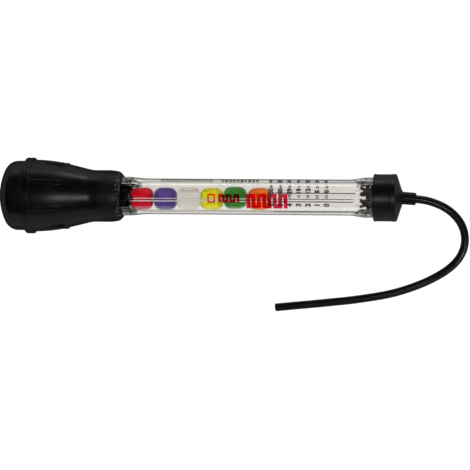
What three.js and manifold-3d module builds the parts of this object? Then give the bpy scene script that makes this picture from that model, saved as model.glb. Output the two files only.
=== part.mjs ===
// Antifreeze tester, lying on a level surface: a squeeze bulb, a clear measuring tube with six
// coloured floats between two float stops, an end cap with a nipple, and a suction hose.
// Millimetres. +Z is up, the bulb points to -X and the nipple to +X. The origin lies on the
// surface, under the middle of the tester's bounding box, which leaves the loose hose out.
//
// Inside the tilted tester, x runs along its own axis from the bulb's tip, and an angle about
// that axis is counted from +Y towards +Z.

import * as THREE from 'three';
import { mergeVertices } from 'three/addons/utils/BufferGeometryUtils.js';
import Module from 'manifold-3d';

// Clearances
const SEAT_GAP = 0.3;
const OVERRUN = 2;
const WELD = 0.0001;

// Facets
const ROUND_SIDES = 48;
const FLOAT_SIDES = 24;
const HOSE_SIDES = 10;
const NIPPLE_SIDES = 24;
const ARC_STEPS = 4;
const FLOAT_STEPS = 6;

// Squeeze bulb: a hollow rubber moulding
const BULB_LENGTH = 94.1;
const BULB_RADIUS = 26.25;
const BULB_WALL = 3;
const CROWN_RADIUS = 47;
const CORNER_RADIUS = 9.4;
const NUB_RADIUS = 4.2;
const NUB_ROOT_RADIUS = 5;
const NUB_HEIGHT = 1.9;
const RING_HEIGHT = 2.55;
const RING_START = 19.5;
const RING_BAND_WIDTH = 5;
const RING_FLANK_START = 1.3;
const RING_FLANK_END = 0.9;
const RING_GROOVE_DEPTH = 0.5;
const RING_GROOVE_WIDTH = 0.9;
const SHOULDER_RISE = 0.85;
const SHOULDER_REACH = 13.3;
const TAPER_LENGTH = 44.2;
const NECK_WALL = 4.6;
const NECK_BLEND = 8;
const LIP_LENGTH = 7.7;
const LIP_ARC = 26;
const LIP_CHAMFER = 2.4;
const LIP_EDGE = 0.8;
const TUBE_STOP_WIDTH = 2.5;
const TUBE_STOP_THICKNESS = 2;

// Grip ribs, moulded on the bulb's taper
const GRIP_RIB_COUNT = 8;
const GRIP_RIB_TURN = THREE.MathUtils.degToRad(22.5);
const GRIP_RIB_WIDTH = 2.8;
const GRIP_RIB_REACH = 24.4;
const GRIP_RIB_RISE = 0.3;
const GRIP_RIB_FALL = 0.7;

// Measuring tube: a clear moulding with four inner ribs and a wider socket at each end
const TUBE_LENGTH = 223.5;
const TUBE_GRIP = 20.6;
const TUBE_BORE_RADIUS = 11.7;
const TUBE_WALL = 1.8;
const SOCKET_STEP = 1.1;
const BULB_SOCKET_WALL = 1.8;
const BULB_SOCKET_LENGTH = 27;
const BULB_FLARE_START = 28.5;
const BULB_FLARE_LENGTH = 7;
const CAP_SOCKET_WALL = 2.3;
const CAP_SOCKET_LENGTH = 23.1;
const CAP_FLARE_START = 19;
const CAP_FLARE_LENGTH = 13;
const TUBE_RIB_COUNT = 4;
const TUBE_RIB_TURN = THREE.MathUtils.degToRad(12.5);
const TUBE_RIB_WIDTH = 2.2;
const TUBE_RIB_HEIGHT = 0.8;
const TUBE_RIB_SETBACK = 3;

// Float stop: a ring of forked feet in a socket, with a hub on four legs
const STOP_LENGTH = 9.7;
const STOP_WALL = 1.45;
const STOP_RING_LENGTH = 2.2;
const STOP_TURN = THREE.MathUtils.degToRad(22.5);
const FORK_COUNT = 8;
const FORK_STEM_WIDTH = 3.6;
const FORK_STEM_END = 5.8;
const FORK_TIP_WIDTH = 6.8;
const FORK_NOTCH_WIDTH = 3.6;
const FORK_NOTCH_DEPTH = 3.1;
const LEG_COUNT = 4;
const LEG_WIDTH = 2.2;
const LEG_START = 3.6;
const LEG_THICKNESS = 2.8;
const HUB_RADIUS = 3;

// Floats: barrels of one size, each in its own colour, lying low and to one side in the bore
const FLOAT_LENGTH = 17;
const FLOAT_RADIUS = 8.4;
const FLOAT_SQUARENESS = 3.4;
const FLOAT_CLEARANCE = 0.2;
const FIRST_FLOAT_GAP = 2.9;
const FLOATS = [
  { name: 'float_red', color: '#b5182c', gapAfter: 0.8, turn: -134 },
  { name: 'float_violet', color: '#4b3d76', gapAfter: 0.6, turn: -136 },
  { name: 'float_natural', color: '#cbc6ba', gapAfter: 0.6, turn: -130 },
  { name: 'float_yellow', color: '#c8bd14', gapAfter: 0.6, turn: -136 },
  { name: 'float_green', color: '#3b7c33', gapAfter: 1.5, turn: -106 },
  { name: 'float_orange', color: '#d26a1f', gapAfter: 0, turn: -128 },
];

// End cap: a rubber cup with a bead at each rim, a low cone and a fluted nipple that droops
const CAP_LENGTH = 16.7;
const CAP_DEPTH = 13.8;
const CAP_WALL = 2.15;
const CAP_BEAD_HEIGHT = 0.25;
const CAP_MOUTH_BEAD = 1.6;
const CAP_END_BEAD = 3.4;
const CONE_LENGTH = 4.1;
const CONE_END_RADIUS = 5.3;
const NIPPLE_LENGTH = 10.3;
const NIPPLE_WALL = 0.8;
const NIPPLE_ROOT = 3;
const NIPPLE_DROOP = THREE.MathUtils.degToRad(4.5);
const NIPPLE_RIB_COUNT = 8;
const NIPPLE_RIB_WIDTH = 1.1;
const NIPPLE_RIB_HEIGHT = 0.35;
const NIPPLE_RIB_SETBACK = 0.8;
const PASSAGE_RADIUS = 1.6;

// Suction hose. Its route is a list of places chosen by hand: two distances from the centre
// of the nipple's mouth along X and Y, and the height of the hose's centre above the surface.
const HOSE_RADIUS = 3;
const HOSE_BORE_RADIUS = 1.5;
const HOSE_SEAT_DEPTH = 8.5;
const HOSE_STEP_DIAMETERS = 2;
const HOSE_ROUTE = [
  [6, -0.7, 16.6],
  [11.8, -2.1, 16.2],
  [20.1, -5.5, 15.4],
  [26.3, -9.7, 14.4],
  [31.4, -15.2, 13.1],
  [34.6, -21.3, 11.7],
  [35.9, -28.2, 10.2],
  [35.2, -35.1, 8.6],
  [32.5, -41.6, 7.2],
  [28.3, -47.1, 6],
  [21.4, -53, 4.7],
  [11.1, -59.1, 3.5],
  [-0.7, -64.4, 3.1],
  [-18.8, -70.3, 3.05],
  [-44.3, -75, 3.05],
  [-69.2, -78, 3.05],
  [-94, -80.6, 3.05],
  [-107.4, -82, 3.05],
];

// Finishes
const RUBBER = { color: '#151517', roughness: 0.45 };
const BLACK_PLASTIC = { color: '#101010', roughness: 0.4 };
const CLEAR_PLASTIC = { color: '#dde0da', roughness: 0.12, transparent: true, opacity: 0.35 };
const FLOAT_ROUGHNESS = 0.3;

// Places along the axis that several pieces share
const tubeStart = BULB_LENGTH - TUBE_GRIP;
const tubeEnd = tubeStart + TUBE_LENGTH;
const bulbShoulder = tubeStart + BULB_SOCKET_LENGTH;
const capShoulder = tubeEnd - CAP_SOCKET_LENGTH;
const capFloor = tubeEnd + SEAT_GAP;
const capRim = capFloor - CAP_DEPTH;
const capEnd = capRim + CAP_LENGTH;
const nippleFoot = capEnd + CONE_LENGTH;
const bandStart = RING_START + RING_FLANK_START;
const bandEnd = bandStart + RING_BAND_WIDTH;
const bandMiddle = (bandStart + bandEnd) / 2;
const ringEnd = bandEnd + RING_FLANK_END;

// Radii that follow from one another
const tubeRadius = TUBE_BORE_RADIUS + TUBE_WALL;
const socketBoreRadius = TUBE_BORE_RADIUS + SOCKET_STEP;
const bulbSocketRadius = socketBoreRadius + BULB_SOCKET_WALL;
const capSocketRadius = socketBoreRadius + CAP_SOCKET_WALL;
const ringRadius = BULB_RADIUS + RING_HEIGHT;
const shoulderRadius = BULB_RADIUS + SHOULDER_RISE;
const neckBoreRadius = bulbSocketRadius + SEAT_GAP;
const neckRadius = neckBoreRadius + NECK_WALL;
const capBoreRadius = capSocketRadius + SEAT_GAP;
const capRadius = capBoreRadius + CAP_WALL;
const capBeadRadius = capRadius + CAP_BEAD_HEIGHT;
const hoseSeatRadius = HOSE_RADIUS + SEAT_GAP;
const nippleRadius = hoseSeatRadius + NIPPLE_WALL;
const floatDrop = TUBE_BORE_RADIUS - TUBE_RIB_HEIGHT - FLOAT_RADIUS - FLOAT_CLEARANCE;

// The bulb's taper runs straight to the neck from a shoulder rounded over its reach.
const taperAngle = Math.atan((shoulderRadius - neckRadius) / (TAPER_LENGTH - SHOULDER_REACH));
const shoulderArc = SHOULDER_REACH / Math.tan(taperAngle / 2);

const wasm = await Module();
wasm.setup();

// A closed geometry as a solid for joins and cuts.
function toSolid(geometry) {
  let bare = geometry.clone();
  bare.deleteAttribute('normal');
  bare.deleteAttribute('uv');
  bare = mergeVertices(bare, WELD);
  const corners = bare.index.array;
  const triangles = [];
  for (let i = 0; i < corners.length; i += 3) {
    const [a, b, c] = corners.slice(i, i + 3);
    if (a !== b && b !== c && c !== a) triangles.push(a, b, c);
  }
  return new wasm.Manifold(new wasm.Mesh({
    numProp: 3,
    vertProperties: new Float32Array(bare.attributes.position.array),
    triVerts: new Uint32Array(triangles),
  }));
}

function toGeometry(solid) {
  const { vertProperties, triVerts } = solid.getMesh();
  const geometry = new THREE.BufferGeometry();
  geometry.setAttribute('position', new THREE.BufferAttribute(vertProperties, 3));
  geometry.setIndex(new THREE.BufferAttribute(triVerts, 1));
  geometry.computeVertexNormals();
  return geometry;
}

// Points [x, radius] on an arc, its angles counted from the outward radial direction to +X.
function arc(x, radius, arcRadius, from, to) {
  const points = [];
  for (let i = 0; i <= ARC_STEPS; i += 1) {
    const angle = from + ((to - from) * i) / ARC_STEPS;
    points.push([x + arcRadius * Math.sin(angle), radius + arcRadius * Math.cos(angle)]);
  }
  return points;
}

// Points on a smooth S from one [x, radius] to another.
function easedStep([x0, r0], [x1, r1]) {
  const points = [];
  for (let i = 0; i <= ARC_STEPS; i += 1) {
    const share = i / ARC_STEPS;
    const eased = share * share * (3 - 2 * share);
    points.push([x0 + (x1 - x0) * share, r0 + (r1 - r0) * eased]);
  }
  return points;
}

// A body turned about the x axis from an outline of [x, radius] points. The outline starts
// and ends on the axis, or is a loop clear of it. A flat of the facets faces down.
function turned(outline, sides = ROUND_SIDES) {
  const points = outline.map(([x, radius]) => new THREE.Vector2(radius, x));
  if (THREE.ShapeUtils.area(points) < 0) points.reverse();
  if (points.every((point) => point.x > 0)) points.push(points[0].clone());
  const geometry = new THREE.LatheGeometry(points, sides);
  geometry.rotateZ(-Math.PI / 2);
  geometry.rotateX(Math.PI / sides);
  return toSolid(geometry);
}

function rod(start, end, radius, sides = ROUND_SIDES) {
  return turned([[start, 0], [start, radius], [end, radius], [end, 0]], sides);
}

// A bar along x whose section spans two radii, at the given angle about the axis.
function bar(start, end, innerRadius, outerRadius, width, angle) {
  const geometry = new THREE.BoxGeometry(end - start, outerRadius - innerRadius, width);
  geometry.translate((start + end) / 2, (innerRadius + outerRadius) / 2, 0);
  geometry.rotateX(angle);
  return toSolid(geometry);
}

// A flat outline of [x, width] points, raised outwards between two radii at an angle.
function raised(outline, innerRadius, outerRadius, angle) {
  const shape = new THREE.Shape(outline.map(([x, width]) => new THREE.Vector2(x, width)));
  const depth = outerRadius - innerRadius;
  const geometry = new THREE.ExtrudeGeometry(shape, { depth, bevelEnabled: false });
  geometry.translate(0, 0, innerRadius);
  geometry.rotateX(angle - Math.PI / 2);
  return toSolid(geometry);
}

// Copies of a body evenly about the axis, joined to one solid.
function around(count, firstAngle, makeOne) {
  let joined = makeOne(firstAngle);
  for (let i = 1; i < count; i += 1) {
    joined = joined.add(makeOne(firstAngle + (2 * Math.PI * i) / count));
  }
  return joined;
}

// The dome, its crown and its corner, at a depth below the bulb's outer face.
function domeOutline(depth, firstRadius) {
  const crown = CROWN_RADIUS - depth;
  const corner = CORNER_RADIUS - depth;
  const meet = Math.asin((BULB_RADIUS - CORNER_RADIUS) / (CROWN_RADIUS - CORNER_RADIUS));
  const cornerX = CROWN_RADIUS - (CROWN_RADIUS - CORNER_RADIUS) * Math.cos(meet);
  const first = Math.asin(firstRadius / crown);
  return [
    ...arc(CROWN_RADIUS, 0, crown, first - Math.PI / 2, meet - Math.PI / 2),
    ...arc(cornerX, BULB_RADIUS - CORNER_RADIUS, corner, meet - Math.PI / 2, 0).slice(1),
  ];
}

function squeezeBulb() {
  const grooveHalf = RING_GROOVE_WIDTH / 2;
  const ringOutline = [
    [RING_START, BULB_RADIUS],
    [bandStart, ringRadius],
    [bandMiddle - grooveHalf, ringRadius],
    [bandMiddle, ringRadius - RING_GROOVE_DEPTH],
    [bandMiddle + grooveHalf, ringRadius],
    [bandEnd, ringRadius],
  ];

  const shoulder = (depth) => (
    arc(ringEnd, shoulderRadius - shoulderArc, shoulderArc - depth, 0, taperAngle)
  );
  const [taperX, taperRadius] = shoulder(0).at(-1);
  const blendRadius = neckRadius + NECK_BLEND * (1 - Math.cos(taperAngle));
  const blendX = taperX + (taperRadius - blendRadius) / Math.tan(taperAngle);
  const blend = arc(
    blendX + NECK_BLEND * Math.sin(taperAngle),
    neckRadius + NECK_BLEND,
    -NECK_BLEND,
    taperAngle,
    0,
  );

  const lipStart = BULB_LENGTH - LIP_CHAMFER - LIP_LENGTH;
  const lip = arc(lipStart, neckRadius - LIP_ARC, LIP_ARC, 0, Math.asin(LIP_LENGTH / LIP_ARC));

  const skin = turned([
    [-NUB_HEIGHT, 0],
    [-NUB_HEIGHT, NUB_RADIUS],
    ...domeOutline(0, NUB_ROOT_RADIUS),
    ...ringOutline,
    ...shoulder(0),
    ...blend,
    ...lip,
    [BULB_LENGTH, neckBoreRadius + LIP_EDGE],
    [BULB_LENGTH, 0],
  ]);

  const stopBack = tubeStart - SEAT_GAP;
  const stopFront = stopBack - TUBE_STOP_THICKNESS;
  const stopRadius = neckBoreRadius - TUBE_STOP_WIDTH;
  const [innerX, innerRadius] = shoulder(BULB_WALL).at(-1);
  const cavity = turned([
    ...domeOutline(BULB_WALL, 0),
    ...shoulder(BULB_WALL),
    [stopFront, innerRadius - (stopFront - innerX) * Math.tan(taperAngle)],
    [stopFront, stopRadius],
    [stopBack, stopRadius],
    [stopBack, neckBoreRadius],
    [BULB_LENGTH + OVERRUN, neckBoreRadius],
    [BULB_LENGTH + OVERRUN, 0],
  ]);

  const ribEnd = ringEnd + GRIP_RIB_REACH;
  const ribHalf = GRIP_RIB_WIDTH / 2;
  const ribPlan = [
    [bandMiddle, -ribHalf],
    ...arc(ribEnd - ribHalf, 0, -ribHalf, 0, -Math.PI),
    [bandMiddle, ribHalf],
  ];
  const ribRadius = shoulderRadius + GRIP_RIB_RISE;
  const ribEnvelope = turned([
    [bandMiddle, 0],
    [bandMiddle, ribRadius],
    [ribEnd, ribRadius - GRIP_RIB_FALL],
    [ribEnd, 0],
  ]);
  const ribs = around(GRIP_RIB_COUNT, GRIP_RIB_TURN, (angle) => (
    raised(ribPlan, neckRadius, ringRadius, angle)
  ));
  return skin.add(ribs.intersect(ribEnvelope)).subtract(cavity);
}

function measuringTube() {
  const wall = turned([
    [tubeStart, bulbSocketRadius],
    ...easedStep(
      [tubeStart + BULB_FLARE_START, bulbSocketRadius],
      [tubeStart + BULB_FLARE_START + BULB_FLARE_LENGTH, tubeRadius],
    ),
    ...easedStep(
      [tubeEnd - CAP_FLARE_START - CAP_FLARE_LENGTH, tubeRadius],
      [tubeEnd - CAP_FLARE_START, capSocketRadius],
    ),
    [tubeEnd, capSocketRadius],
    [tubeEnd, socketBoreRadius],
    [capShoulder, socketBoreRadius],
    [capShoulder, TUBE_BORE_RADIUS],
    [bulbShoulder, TUBE_BORE_RADIUS],
    [bulbShoulder, socketBoreRadius],
    [tubeStart, socketBoreRadius],
  ]);
  const ribRoot = TUBE_BORE_RADIUS + TUBE_WALL / 2;
  const ribTip = TUBE_BORE_RADIUS - TUBE_RIB_HEIGHT;
  const ribEnd = capShoulder - TUBE_RIB_SETBACK;
  return wall.add(around(TUBE_RIB_COUNT, TUBE_RIB_TURN, (angle) => (
    bar(bulbShoulder, ribEnd, ribTip, ribRoot, TUBE_RIB_WIDTH, angle)
  )));
}

// The stop's outer end lies at x = 0 and its forks point to +X, into the measuring chamber.
function floatStop() {
  const outer = socketBoreRadius - SEAT_GAP;
  const inner = outer - STOP_WALL;
  const band = (length) => turned([[0, inner], [0, outer], [length, outer], [length, inner]]);
  const stem = FORK_STEM_WIDTH / 2;
  const tip = FORK_TIP_WIDTH / 2;
  const notch = FORK_NOTCH_WIDTH / 2;
  const forkPlan = [
    [0, -stem],
    [FORK_STEM_END, -stem],
    [STOP_LENGTH, -tip],
    [STOP_LENGTH, -notch],
    [STOP_LENGTH - FORK_NOTCH_DEPTH, 0],
    [STOP_LENGTH, notch],
    [STOP_LENGTH, tip],
    [FORK_STEM_END, stem],
    [0, stem],
  ];
  const forks = around(FORK_COUNT, 0, (angle) => (
    raised(forkPlan, inner - OVERRUN, outer + OVERRUN, angle)
  ));
  const legEnd = LEG_START + LEG_THICKNESS;
  const hub = rod(LEG_START, legEnd, HUB_RADIUS, NIPPLE_SIDES);
  const legs = around(LEG_COUNT, 0, (angle) => (
    bar(LEG_START, legEnd, 0, (inner + outer) / 2, LEG_WIDTH, angle)
  ));
  return band(STOP_LENGTH).intersect(forks).add(band(STOP_RING_LENGTH)).add(hub).add(legs);
}

// A barrel with rounded edges: its outline is a superellipse.
function float() {
  const outline = [];
  for (let i = 0; i <= 2 * FLOAT_STEPS; i += 1) {
    const angle = (Math.PI * i) / (2 * FLOAT_STEPS);
    const across = Math.abs(Math.sin(angle)) ** (2 / FLOAT_SQUARENESS);
    const along = -Math.sign(Math.cos(angle)) * Math.abs(Math.cos(angle)) ** (2 / FLOAT_SQUARENESS);
    const onAxis = i % (2 * FLOAT_STEPS) === 0;
    outline.push([(along * FLOAT_LENGTH) / 2, onAxis ? 0 : across * FLOAT_RADIUS]);
  }
  return turned(outline, FLOAT_SIDES);
}

// The nipple's own frame: x = 0 at its foot, along the direction in which it droops.
function drooped(solid) {
  return solid.rotate(0, 0, THREE.MathUtils.radToDeg(-NIPPLE_DROOP)).translate(nippleFoot, 0, 0);
}

function endCap() {
  const cup = turned([
    [capRim, 0],
    [capRim, capBeadRadius],
    [capRim + CAP_MOUTH_BEAD, capBeadRadius],
    [capRim + CAP_MOUTH_BEAD + CAP_BEAD_HEIGHT, capRadius],
    [capEnd - CAP_END_BEAD - CAP_BEAD_HEIGHT, capRadius],
    [capEnd - CAP_END_BEAD, capBeadRadius],
    [capEnd, capBeadRadius],
    [nippleFoot, CONE_END_RADIUS],
    [nippleFoot, 0],
  ]);
  const socket = rod(capRim - OVERRUN, capFloor, capBoreRadius);
  const nipple = rod(-NIPPLE_ROOT, NIPPLE_LENGTH, nippleRadius, NIPPLE_SIDES);
  const ribs = around(NIPPLE_RIB_COUNT, 0, (angle) => bar(
    -NIPPLE_ROOT,
    NIPPLE_LENGTH - NIPPLE_RIB_SETBACK,
    hoseSeatRadius,
    nippleRadius + NIPPLE_RIB_HEIGHT,
    NIPPLE_RIB_WIDTH,
    angle,
  ));
  const seat = rod(
    NIPPLE_LENGTH - HOSE_SEAT_DEPTH,
    NIPPLE_LENGTH + OVERRUN,
    hoseSeatRadius,
    NIPPLE_SIDES,
  );
  const passage = rod(capFloor - nippleFoot - OVERRUN, NIPPLE_LENGTH, PASSAGE_RADIUS, NIPPLE_SIDES);
  return cup
    .subtract(socket)
    .add(drooped(nipple.add(ribs)))
    .subtract(drooped(seat.add(passage)));
}

// A ring of points about the hose's centre line, for its skin and its bore.
function hoseRing(radius) {
  const points = [];
  for (let i = 0; i < HOSE_SIDES; i += 1) {
    const angle = (2 * Math.PI * i) / HOSE_SIDES;
    points.push(new THREE.Vector2(radius * Math.cos(angle), radius * Math.sin(angle)));
  }
  return points;
}

// A point on the nipple's centre line, a distance out from its mouth, in the tester's frame.
function fromMouth(distance) {
  const reach = NIPPLE_LENGTH + distance;
  const x = nippleFoot + reach * Math.cos(NIPPLE_DROOP);
  return new THREE.Vector3(x, -reach * Math.sin(NIPPLE_DROOP), 0);
}

function suctionHose(tester) {
  const seatDepth = HOSE_SEAT_DEPTH - SEAT_GAP;
  const seated = [fromMouth(-seatDepth), fromMouth(-seatDepth / 2), fromMouth(0)];
  seated.forEach((point) => point.applyMatrix4(tester.matrixWorld));
  const mouth = seated.at(-1);
  const free = HOSE_ROUTE.map(([x, y, height]) => new THREE.Vector3(mouth.x + x, mouth.y + y, height));
  const path = new THREE.CatmullRomCurve3([...seated, ...free]);
  const steps = Math.round(path.getLength() / (HOSE_STEP_DIAMETERS * 2 * HOSE_RADIUS));
  const section = new THREE.Shape(hoseRing(HOSE_RADIUS));
  section.holes.push(new THREE.Path(hoseRing(HOSE_BORE_RADIUS)));
  return new THREE.ExtrudeGeometry(section, { steps, extrudePath: path, bevelEnabled: false });
}

function piece(name, geometry, finish) {
  const mesh = new THREE.Mesh(geometry, new THREE.MeshStandardMaterial(finish));
  mesh.name = name;
  return mesh;
}

const tester = new THREE.Group();
tester.add(piece('squeeze_bulb', toGeometry(squeezeBulb()), RUBBER));
tester.add(piece('measuring_tube', toGeometry(measuringTube()), CLEAR_PLASTIC));
tester.add(piece('end_cap', toGeometry(endCap()), RUBBER));

const stopGeometry = toGeometry(floatStop());
const bulbStop = piece('float_stop_bulb', stopGeometry, BLACK_PLASTIC);
bulbStop.position.x = bulbShoulder - SEAT_GAP - STOP_LENGTH;
bulbStop.rotation.x = STOP_TURN;
const capStop = piece('float_stop_cap', stopGeometry.clone(), BLACK_PLASTIC);
capStop.position.x = capShoulder + SEAT_GAP + STOP_LENGTH;
capStop.rotation.set(STOP_TURN, Math.PI, 0);
tester.add(bulbStop, capStop);

const firstFloat = bulbStop.position.x + LEG_START + LEG_THICKNESS + FIRST_FLOAT_GAP;
let floatX = firstFloat + FLOAT_LENGTH / 2;
for (const { name, color, gapAfter, turn } of FLOATS) {
  const angle = THREE.MathUtils.degToRad(turn);
  const one = piece(name, toGeometry(float()), { color, roughness: FLOAT_ROUGHNESS });
  one.position.set(floatX, floatDrop * Math.cos(angle), floatDrop * Math.sin(angle));
  tester.add(one);
  floatX += FLOAT_LENGTH + gapAfter;
}

// The tester rests on the flats of the bulb's ring and the cap's last bead, of unlike size.
const flatShare = Math.cos(Math.PI / ROUND_SIDES);
tester.rotation.y = Math.atan((flatShare * (ringRadius - capBeadRadius)) / (capEnd - bandEnd));
const bounds = new THREE.Box3().setFromObject(tester, true);
const middle = bounds.getCenter(new THREE.Vector3());
tester.position.set(-middle.x, -middle.y, -bounds.min.z);
tester.updateMatrixWorld(true);

const antifreezeTester = new THREE.Group();
antifreezeTester.add(tester);
antifreezeTester.add(piece('suction_hose', suctionHose(tester), RUBBER));

export default antifreezeTester;
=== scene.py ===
import math

import bpy
import numpy as np
from mathutils import Matrix, Vector


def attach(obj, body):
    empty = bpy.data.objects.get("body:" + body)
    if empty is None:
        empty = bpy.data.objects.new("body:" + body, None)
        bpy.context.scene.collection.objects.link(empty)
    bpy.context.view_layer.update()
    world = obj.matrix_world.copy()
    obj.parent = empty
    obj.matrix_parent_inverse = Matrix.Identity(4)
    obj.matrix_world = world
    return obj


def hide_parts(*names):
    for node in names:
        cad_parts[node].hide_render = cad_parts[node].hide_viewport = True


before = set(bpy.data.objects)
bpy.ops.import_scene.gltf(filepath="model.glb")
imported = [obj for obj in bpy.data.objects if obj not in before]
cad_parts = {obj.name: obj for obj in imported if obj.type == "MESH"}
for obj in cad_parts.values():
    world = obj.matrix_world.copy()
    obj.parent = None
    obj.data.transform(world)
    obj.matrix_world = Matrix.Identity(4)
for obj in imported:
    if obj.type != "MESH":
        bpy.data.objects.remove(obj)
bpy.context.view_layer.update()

# Antifreeze tester. Lengths are in millimetres until a mesh is made. The tester's own frame
# has x along its axis from the bulb's tip, and angles about it count from +Y towards +Z.
# A size whose name ends in EDGE, ROOT or BED is how far the rounding of a corner reaches.
MM = 0.001
TIP = Vector((-156.3053, 0, 29.7466))
TILT = math.atan2(0.03996967, 0.99920089)
PLACE = Matrix.Translation(TIP) @ Matrix.Rotation(TILT, 4, "Y")
TINY = 1e-9
MOST_OF_SIDE = 0.49

# Camera: focal length in pixels of a 470 px frame, distance, tilt towards +X and roll. It
# looks at a point beside the axis, below it in the picture. Its clipping is in metres.
FOCAL_PX, FRAME_PX, SENSOR_WIDTH, DISTANCE = 2780, 470, 36, 2080
CAMERA_TILT, CAMERA_ROLL = math.radians(10.79), math.radians(0.5)
AIM_ALONG, AIM_BELOW = 179, 28.54
CLIP_START, CLIP_END = 0.05, 50

# Squeeze bulb
BULB_RADIUS, BULB_WALL, BULB_LENGTH = 26.25, 3, 94.1
CROWN_RADIUS, CORNER_RADIUS = 47, 9.4
NUB_HEIGHT, NUB_RADIUS, NUB_FOOT, NUB_FOOT_RADIUS, NUB_REACH = 1.9, 4.2, 0.28, 5.0, 5.6
NUB_EDGE, NUB_ROOT = 0.7, 0.5
RING_RADIUS, RING_START, BAND_START, BAND_END, RING_END = 28.735, 19.5, 20.8, 25.8, 26.7
RING_ROOT, RING_EDGE, RING_BACK_ROOT, RING_RUN = 0.5, 0.45, 0.35, 0.8
BAND_MIDDLE = (BAND_START + BAND_END) / 2
GROOVE_HALF, GROOVE_DEPTH, GROOVE_EDGE, GROOVE_BED = 0.5, 0.55, 0.2, 0.25
SHOULDER_RADIUS, SHOULDER_ARC, TAPER = 27.1, 109.76, math.radians(13.818)
NECK_RADIUS, NECK_BLEND, LIP_LENGTH, LIP_ARC, LIP_CHAMFER = 19.5, 22, 7.7, 26, 2.4
SOCKET_RADIUS, STOP_RADIUS, STOP_START, STOP_END = 14.9, 12.4, 71.2, 73.2
MOUTH_WALL, MOUTH_CHAMFER, MOUTH_RUN = 0.8, 0.3, 2
LIP_EDGE, MOUTH_EDGE, SOCKET_EDGE, HOLLOW_EDGE = 0.7, 0.3, 0.3, 0.5

# Grip ribs. Across a rib, distances are measured on the radius where it stands.
RIB_COUNT, RIB_TURN, RIB_STAND_RADIUS = 8, math.radians(22.5), 25.8
RIB_HALF, RIB_END, RIB_ROOT_RADIUS, RIB_END_RADIUS, RIB_CROWN = 1.4, 51.1, 27.4, 26.7, 0.12
RIB_OFFSETS = (0, 0.7, 1.05, 1.2, 1.32, 1.44, 1.56, 1.7, 1.95, 2.4)
RIB_SIDE = (-0.3, 0.42)
RIB_ZONE_START, RIB_ZONE_PAST, ZONE_STEP = 1, 2, 1.6
END_BEFORE, END_PAST, END_STEP, END_GAP = 2.6, 0.9, 0.16, 0.3

# Measuring tube: its sockets flare out, its bore widens in sloped steps
TUBE_START, TUBE_END, TUBE_RADIUS, BORE_RADIUS = 73.5, 297, 13.5, 11.7
BULB_END_RADIUS, CAP_END_RADIUS, TUBE_EDGE, TUBE_END_RUN = 14.6, 15.1, 0.3, 3
BULB_FLARE, CAP_FLARE = (99, 113.5), (265, 278)
BULB_SHOULDER, CAP_SHOULDER, SOCKET_BORE = 100.5, 273.9, 12.8
BULB_STEP, CAP_STEP, BORE_PIECE = 6, 7, 20

# Ribs in the bore: half widths at the crest and at the foot, how they run in and out, and
# where the foot and the crest of a flank lie: across from the rib's middle and off the bore
TUBE_RIB_COUNT, TUBE_RIB_TURN = 4, math.radians(12.5)
TUBE_RIB_HEIGHT, TUBE_RIB_END, TUBE_RIB_SIDE = 0.8, 270.9, (0.92, 1.26)
TUBE_RIB_OFFSETS = (0, 0.6, 0.9, 0.98, 1.06, 1.14, 1.22, 1.3, 1.7)
RUN_IN, RUN_OUT = 2, 3
FLANK_FOOT, FLANK_CREST = (1.25, 0.06), (0.6, -0.7)
FLANK_STATIONS, PAIRED_FLANKS = 24, 3

# End cap and nipple. The nipple's own lengths count from its foot.
CAP_RIM, CAP_FLOOR, CAP_END, NIPPLE_FOOT = 283.5, 297.3, 300.2, 304.3
CAP_RADIUS, CAP_BEAD, CAP_BORE, CONE_END = 17.54, 17.76, 15.4, 5.3
RIM_BEAD, END_BEAD, BEAD_SLOPE = 1.6, 3.4, 0.25
RIM_INNER_EDGE, RIM_EDGE, BEAD_EDGE, BEAD_ROOT, CONE_EDGE = 0.25, 0.35, 0.25, 0.2, 0.6
CONE_SHARES, CONE_RINGS, CONE_SLOPE = (0.06, 0.96), 12, (0.25, 0.5)
FLOOR_INNER_EDGE, FLOOR_ROOT, CAP_BORE_RUN = 0.2, 0.3, 3
NIPPLE_LENGTH, NIPPLE_RADIUS, NIPPLE_DROOP = 10.3, 4.1, math.radians(4.5)
FOOT_LENGTH, FOOT_RISE, FOOT_ROOT, FOOT_EDGE, STRAIGHT_START = 2.5, 0.1, 0.8, 0.3, 2.6
NIPPLE_RIB_COUNT, NIPPLE_RIB_HEIGHT, NIPPLE_RIB_SIDE = 8, 0.55, (0.35, 0.72)
NIPPLE_RIB_OFFSETS = (0, 0.25, 0.4, 0.5, 0.6, 0.7, 0.85, 1.1)
NIPPLE_RIB_RUN_IN, NIPPLE_STEP, TIP_BEFORE, RIBS_BEFORE = (0.2, 0.7), 0.5, 0.2, 0.3
TIP_EDGE, SEAT_EDGE, SEAT_START = 0.15, 0.12, 1.8
HOSE_SEAT, PASSAGE_RADIUS, PASSAGE_PAST = 3.3, 1.6, 0.4

# Float stops: how their solids are cleaned and rounded, in metres and degrees
STOP_MERGE, STOP_BEVEL, STOP_BEVEL_STEPS = 0.00001, 0.00022, 2
STOP_FLAT, STOP_CORNER, STOP_SHARP = 4, 32, 38

# Floats: name, distance of the middle along the axis, turn of its lay about the axis
FLOAT_LENGTH, FLOAT_RADIUS, FLOAT_SQUARENESS, FLOAT_DROP = 17, 8.4, 3.4, 2.3
FLOAT_POINTS, FLOAT_SIDES = 45, 64
FLOATS = [
    ("red", 108.3, -134), ("violet", 126.1, -136), ("natural", 143.7, -130),
    ("yellow", 161.3, -136), ("green", 178.9, -106), ("orange", 197.4, -128),
]

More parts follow.
